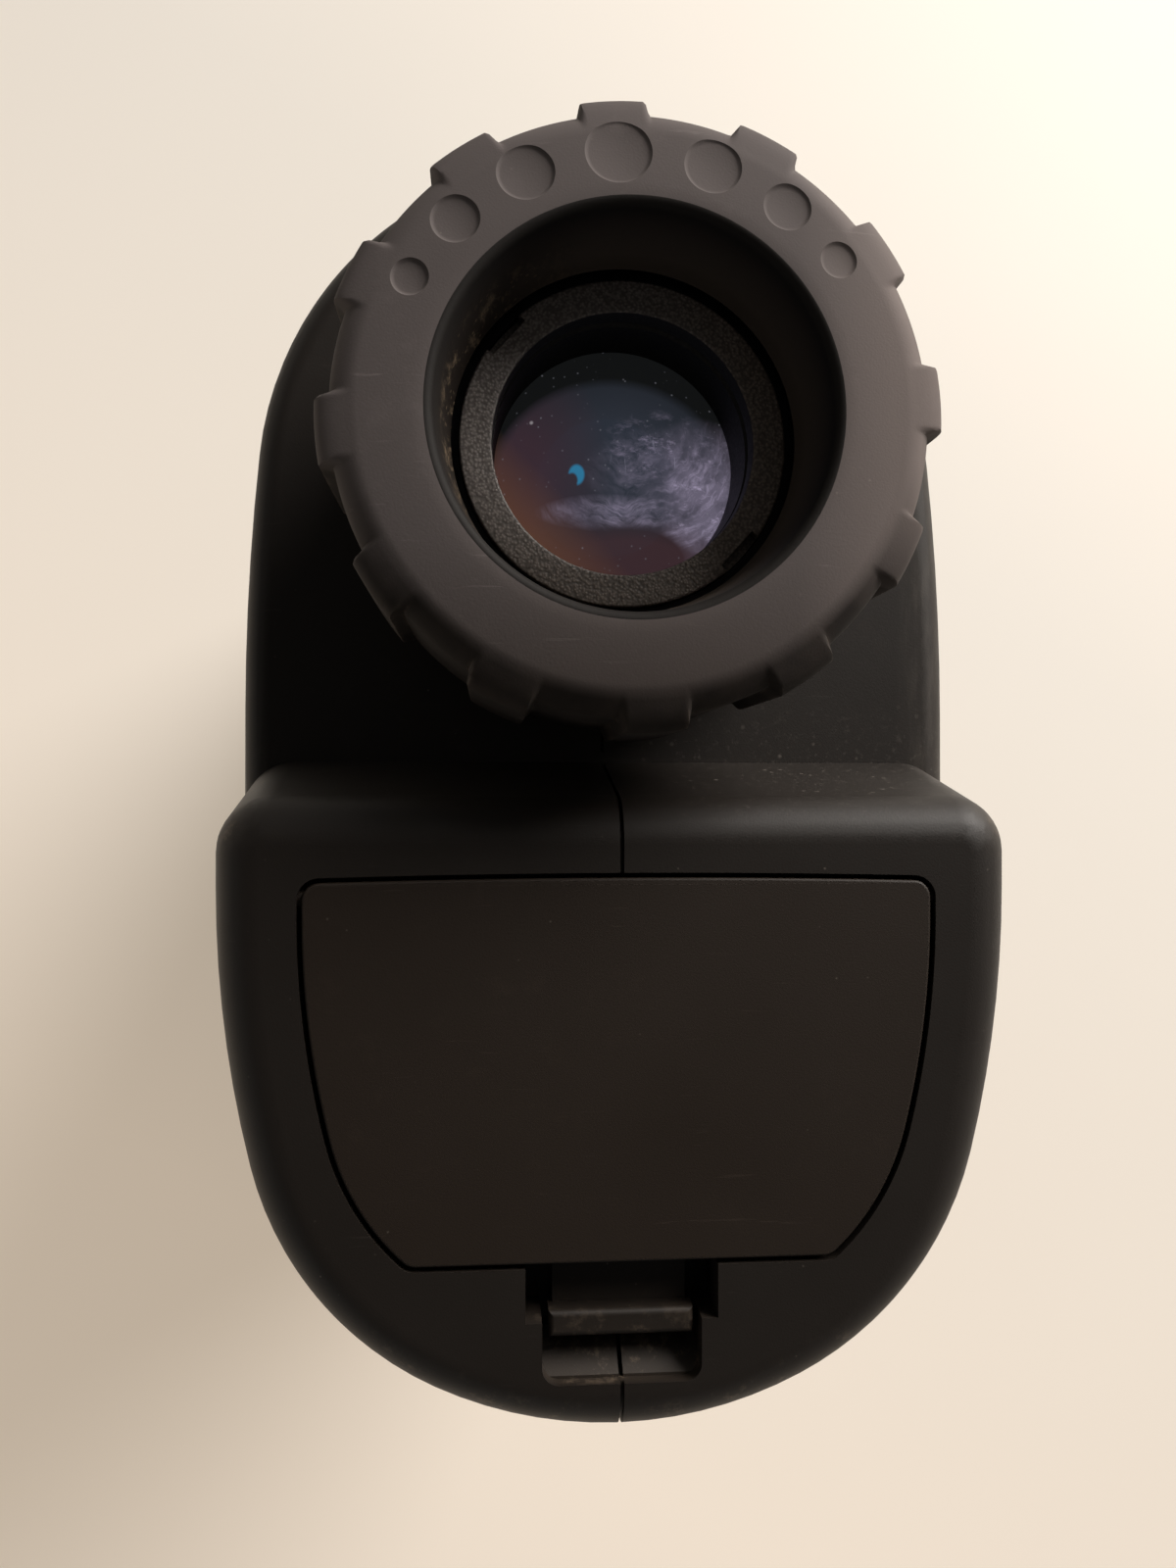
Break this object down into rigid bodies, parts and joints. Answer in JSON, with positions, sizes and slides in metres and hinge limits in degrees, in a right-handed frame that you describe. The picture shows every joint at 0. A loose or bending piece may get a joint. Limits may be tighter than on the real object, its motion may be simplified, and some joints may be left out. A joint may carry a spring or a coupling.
{
  "type": "laser rangefinder",
  "caption": "Handheld laser rangefinder with an upright body, turning eyepiece ring, hinged battery door with latch, power and mode buttons, optics and boards inside.",
  "frame": {"origin": "where the sighting axis meets the flat nose face, at the mouth of the objective's bore", "axes": "+Z along the sighting axis from the nose to the eye, +Y towards the top of the rangefinder as it is held, +X to its right-hand side as seen from the eye. It stands on its nose."},
  "size_m": [0.0439, 0.0736, 0.1066],
  "materials": {
    "black_shell": "fine moulded grain, matt",
    "black_rubber": "matt rubber",
    "inner_plastic": "matt black",
    "black_metal": "anodised black, satin",
    "optical_glass": "polished, coated",
    "receiver_glass": "polished, dark red tint",
    "steel": "bright",
    "spring_steel": "bright wire",
    "contact_metal": "plated",
    "board": "green solder mask",
    "component_black": "moulded epoxy",
    "battery_jacket": "printed sheet, plain",
    "foam": "closed foam"
  },
  "bodies": {
    "body": {"avalanche_photodiode": "steel", "battery": "battery_jacket", "battery_contacts": "contact_metal", "battery_tray": "inner_plastic", "display_frame": "inner_plastic", "display_glass": "optical_glass", "door_gasket": "black_rubber", "emitter_board": "board", "emitter_lens": "optical_glass", "emitter_tube": "black_metal", "eyepiece_barrel": "black_metal", "field_stop": "black_metal", "front_bezel": "black_shell", "half_penta_prism": "optical_glass", "housing_screws": "steel", "laser_diode": "steel", "left_housing": "black_shell", "main_pcb": "board", "mode_board": "board", "mode_spring": "spring_steel", "mode_switch": "component_black", "objective_barrel": "black_metal", "objective_crown_lens": "optical_glass", "objective_flint_lens": "optical_glass", "objective_retaining_ring": "black_metal", "pcb_components": "component_black", "power_board": "board", "power_spring": "spring_steel", "power_switch": "component_black", "prism_cover": "inner_plastic", "prism_holder": "inner_plastic", "receiver_barrel": "black_metal", "receiver_board": "board", "receiver_lens": "receiver_glass", "receiver_retaining_ring": "black_metal", "right_housing": "black_shell", "roof_prism": "optical_glass", "strap_bar": "steel"},
    "door": {"battery_door": "black_shell", "battery_pad": "foam", "latch_spring": "spring_steel"},
    "latch": {"door_latch": "black_shell"},
    "diopter_ring": {"diopter_sleeve": "inner_plastic", "eye_ring": "black_rubber"},
    "eyepiece": {"eyepiece_cell": "inner_plastic", "eye_lens": "optical_glass", "lens_spacer": "inner_plastic", "field_lens": "optical_glass", "cell_retaining_ring": "inner_plastic"},
    "power_key": {"power_button": "black_rubber"},
    "mode_key": {"mode_button": "black_rubber"}
  },
  "joints": [
    {"name": "door_hinge", "type": "hinge", "parent": "body", "child": "door", "pos_m": [0, -0.0231, 0.0992], "axis": [-1, 0, 0], "range_deg": [0, 100]},
    {"name": "latch_slide", "type": "slide", "parent": "door", "child": "latch", "axis": [0, 1, 0], "range_m": [0, 0.001], "stiffness_N_per_m": 300, "deforming": ["latch_spring"]},
    {"name": "diopter_turn", "type": "hinge", "parent": "body", "child": "diopter_ring", "pos_m": [0, 0, 0.1], "axis": [0, 0, 1], "range_deg": [-60, 60]},
    {"name": "eyepiece_focus", "type": "slide", "parent": "body", "child": "eyepiece", "axis": [0, 0, 1], "range_m": [-0.00084, 0.00084]},
    {"name": "power_press", "type": "slide", "parent": "body", "child": "power_key", "axis": [0, -1, 0], "range_m": [0, 0.0007], "stiffness_N_per_m": 400, "deforming": ["power_spring"]},
    {"name": "mode_press", "type": "slide", "parent": "body", "child": "mode_key", "axis": [1, 0, 0], "range_m": [0, 0.0008], "stiffness_N_per_m": 400, "deforming": ["mode_spring"]}
  ],
  "couplings": [
    {"joint": "eyepiece_focus", "follows": "diopter_turn", "m_per_rad": 0.0008}
  ]
}
